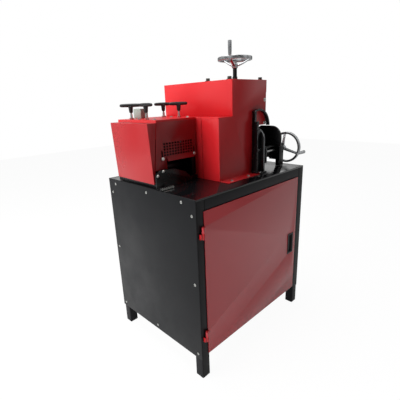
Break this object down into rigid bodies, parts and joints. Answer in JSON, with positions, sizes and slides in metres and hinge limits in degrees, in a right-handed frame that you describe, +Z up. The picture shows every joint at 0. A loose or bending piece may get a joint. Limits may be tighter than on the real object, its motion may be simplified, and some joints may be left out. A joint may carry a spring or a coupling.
{
  "type": "wire stripping machine",
  "caption": "Cabinet-mounted powered wire stripper: small roller unit for thin wires, tall unit for cable with a top handwheel, and an adjustable cable guide.",
  "frame": {"origin": "on the floor, under the middle of the machine's bounding box", "axes": "+Z up, the door faces -Y, wire is fed along +Y, the roller shafts lie along X"},
  "size_m": [0.802, 0.5896, 1.2868],
  "materials": {
    "black_frame": "semi-gloss powder coat",
    "black_panel": "satin powder coat",
    "red_cover": "gloss powder coat",
    "red_door": "semi-gloss powder coat",
    "steel": "ground and oiled",
    "chrome": "polished chrome plate",
    "black_plastic": "moulded, fine grain",
    "grey_enamel": "satin enamel",
    "green_plastic": "moulded",
    "red_plastic": "moulded"
  },
  "bodies": {
    "cabinet": {"leg_front_left": "black_frame", "leg_front_right": "black_frame", "leg_rear_left": "black_frame", "leg_rear_right": "black_frame", "top_rail_front": "black_frame", "top_rail_rear": "black_frame", "top_rail_left": "black_frame", "top_rail_right": "black_frame", "bottom_tray": "black_frame", "top_plate": "black_frame", "left_panel": "black_panel", "right_panel": "black_panel", "rear_panel": "black_panel", "cable_gland": "black_plastic", "upper_door_hinge": "red_cover", "lower_door_hinge": "red_cover", "front_cover": "red_cover", "lower_housing": "red_cover", "upper_hood": "red_cover", "roller_plate_left": "black_frame", "roller_plate_right": "black_frame", "screw_bush": "black_frame", "guide_post": "black_frame", "fixed_cheek": "black_frame", "guide_table": "black_frame", "small_unit_base": "black_frame", "bearing_plate_left": "steel", "bearing_plate_right": "steel", "small_housing": "red_cover", "side_cover": "red_cover", "switch_box": "grey_enamel", "gear_motor": "grey_enamel", "small_drive_chain": "steel", "large_drive_chain": "steel"},
    "door": {"door": "red_door", "door_pull": "black_plastic"},
    "yoke": {"pressure_yoke": "steel"},
    "blade_roller": {"blade_roller": "steel"},
    "pressure_screw": {"pressure_screw": "black_frame", "top_handwheel": "chrome"},
    "top_crank": {"top_crank_handle": "chrome"},
    "feed_roller": {"feed_roller": "steel"},
    "drive_shaft": {"drive_shaft": "steel"},
    "sliding_cheek": {"sliding_cheek": "black_frame"},
    "guide_screw": {"guide_screw": "steel", "side_handwheel": "chrome"},
    "side_crank": {"side_crank_handle": "chrome"},
    "guard": {"slotted_guard": "red_cover"},
    "front_carriage": {"front_roller_carriage": "steel"},
    "rear_carriage": {"rear_roller_carriage": "steel"},
    "lower_front_roller": {"lower_front_roller": "steel"},
    "lower_rear_roller": {"lower_rear_roller": "steel"},
    "upper_front_roller": {"upper_front_roller": "steel"},
    "upper_rear_roller": {"upper_rear_roller": "steel"},
    "t_front_left": {"t_handle_front_left": "black_plastic"},
    "t_front_right": {"t_handle_front_right": "black_plastic"},
    "t_rear_left": {"t_handle_rear_left": "black_plastic"},
    "t_rear_right": {"t_handle_rear_right": "black_plastic"},
    "start_button": {"start_button": "green_plastic"},
    "stop_button": {"stop_button": "red_plastic"}
  },
  "joints": [
    {"name": "door_hinge", "type": "hinge", "parent": "cabinet", "child": "door", "pos_m": [-0.37106, -0.2888, 0.4], "axis": [0, 0, -1], "range_deg": [0, 110]},
    {"name": "yoke_slide", "type": "slide", "parent": "cabinet", "child": "yoke", "axis": [0, 0, 1], "range_m": [-0.01, 0.045]},
    {"name": "blade_roller_turn", "type": "hinge", "parent": "yoke", "child": "blade_roller", "pos_m": [0.09194, -0.0553, 0.945], "axis": [-1, 0, 0], "continuous": true},
    {"name": "pressure_screw_turn", "type": "hinge", "parent": "yoke", "child": "pressure_screw", "pos_m": [0.09194, -0.0553, 1.222], "axis": [0, 0, 1], "range_deg": [-890, 4040]},
    {"name": "top_crank_turn", "type": "hinge", "parent": "pressure_screw", "child": "top_crank", "pos_m": [0.0275, -0.08134, 1.222], "axis": [0, 0, 1], "continuous": true},
    {"name": "feed_roller_turn", "type": "hinge", "parent": "cabinet", "child": "feed_roller", "pos_m": [0.09194, -0.0553, 0.85], "axis": [-1, 0, 0], "continuous": true},
    {"name": "drive_shaft_turn", "type": "hinge", "parent": "cabinet", "child": "drive_shaft", "pos_m": [-0.04306, 0.0347, 0.239], "axis": [-1, 0, 0], "continuous": true},
    {"name": "cheek_slide", "type": "slide", "parent": "cabinet", "child": "sliding_cheek", "axis": [1, 0, 0], "range_m": [-0.068, 0.012]},
    {"name": "guide_screw_turn", "type": "hinge", "parent": "cabinet", "child": "guide_screw", "pos_m": [0.33624, -0.1793, 0.8195], "axis": [1, 0, 0], "range_deg": [-1070, 6110]},
    {"name": "side_crank_turn", "type": "hinge", "parent": "guide_screw", "child": "side_crank", "pos_m": [0.33624, -0.24328, 0.79234], "axis": [1, 0, 0], "continuous": true},
    {"name": "guard_slide", "type": "slide", "parent": "cabinet", "child": "guard", "axis": [0, 0, 1], "range_m": [-0.025, 0]},
    {"name": "lower_front_turn", "type": "hinge", "parent": "cabinet", "child": "lower_front_roller", "pos_m": [-0.34406, 0.0227, 0.8], "axis": [-1, 0, 0], "continuous": true},
    {"name": "lower_rear_turn", "type": "hinge", "parent": "cabinet", "child": "lower_rear_roller", "pos_m": [-0.34406, 0.1237, 0.8], "axis": [-1, 0, 0], "continuous": true},
    {"name": "front_carriage_slide", "type": "slide", "parent": "cabinet", "child": "front_carriage", "axis": [0, 0, 1], "range_m": [-0.002, 0.003]},
    {"name": "upper_front_turn", "type": "hinge", "parent": "front_carriage", "child": "upper_front_roller", "pos_m": [-0.34406, 0.0227, 0.8505], "axis": [-1, 0, 0], "continuous": true},
    {"name": "t_front_left_turn", "type": "hinge", "parent": "front_carriage", "child": "t_front_left", "pos_m": [-0.34406, 0.0227, 1.0455], "axis": [0, 0, 1], "range_deg": [-482, 722]},
    {"name": "t_front_right_turn", "type": "hinge", "parent": "front_carriage", "child": "t_front_right", "pos_m": [-0.17906, 0.0227, 1.0455], "axis": [0, 0, 1], "range_deg": [-482, 722]},
    {"name": "rear_carriage_slide", "type": "slide", "parent": "cabinet", "child": "rear_carriage", "axis": [0, 0, 1], "range_m": [-0.002, 0.003]},
    {"name": "upper_rear_turn", "type": "hinge", "parent": "rear_carriage", "child": "upper_rear_roller", "pos_m": [-0.34406, 0.1237, 0.8505], "axis": [-1, 0, 0], "continuous": true},
    {"name": "t_rear_left_turn", "type": "hinge", "parent": "rear_carriage", "child": "t_rear_left", "pos_m": [-0.34406, 0.1237, 1.0455], "axis": [0, 0, 1], "range_deg": [-482, 722]},
    {"name": "t_rear_right_turn", "type": "hinge", "parent": "rear_carriage", "child": "t_rear_right", "pos_m": [-0.17906, 0.1237, 1.0455], "axis": [0, 0, 1], "range_deg": [-482, 722]},
    {"name": "start_button_press", "type": "slide", "parent": "cabinet", "child": "start_button", "axis": [0, -1, 0], "range_m": [0, 0.003], "stiffness_N_per_m": 300},
    {"name": "stop_button_press", "type": "slide", "parent": "cabinet", "child": "stop_button", "axis": [0, -1, 0], "range_m": [0, 0.003], "stiffness_N_per_m": 300}
  ],
  "couplings": [
    {"joint": "yoke_slide", "follows": "pressure_screw_turn", "m_per_rad": 0.00063662},
    {"joint": "cheek_slide", "follows": "guide_screw_turn", "m_per_rad": -0.00063662},
    {"joint": "drive_shaft_turn", "follows": "feed_roller_turn", "ratio": 1},
    {"joint": "lower_front_turn", "follows": "feed_roller_turn", "ratio": 1},
    {"joint": "lower_rear_turn", "follows": "feed_roller_turn", "ratio": 1},
    {"joint": "upper_front_turn", "follows": "feed_roller_turn", "ratio": -1},
    {"joint": "t_front_left_turn", "follows": "front_carriage_slide", "rad_per_m": 4188.8},
    {"joint": "t_front_right_turn", "follows": "front_carriage_slide", "rad_per_m": 4188.8},
    {"joint": "upper_rear_turn", "follows": "feed_roller_turn", "ratio": -1},
    {"joint": "t_rear_left_turn", "follows": "rear_carriage_slide", "rad_per_m": 4188.8},
    {"joint": "t_rear_right_turn", "follows": "rear_carriage_slide", "rad_per_m": 4188.8}
  ]
}
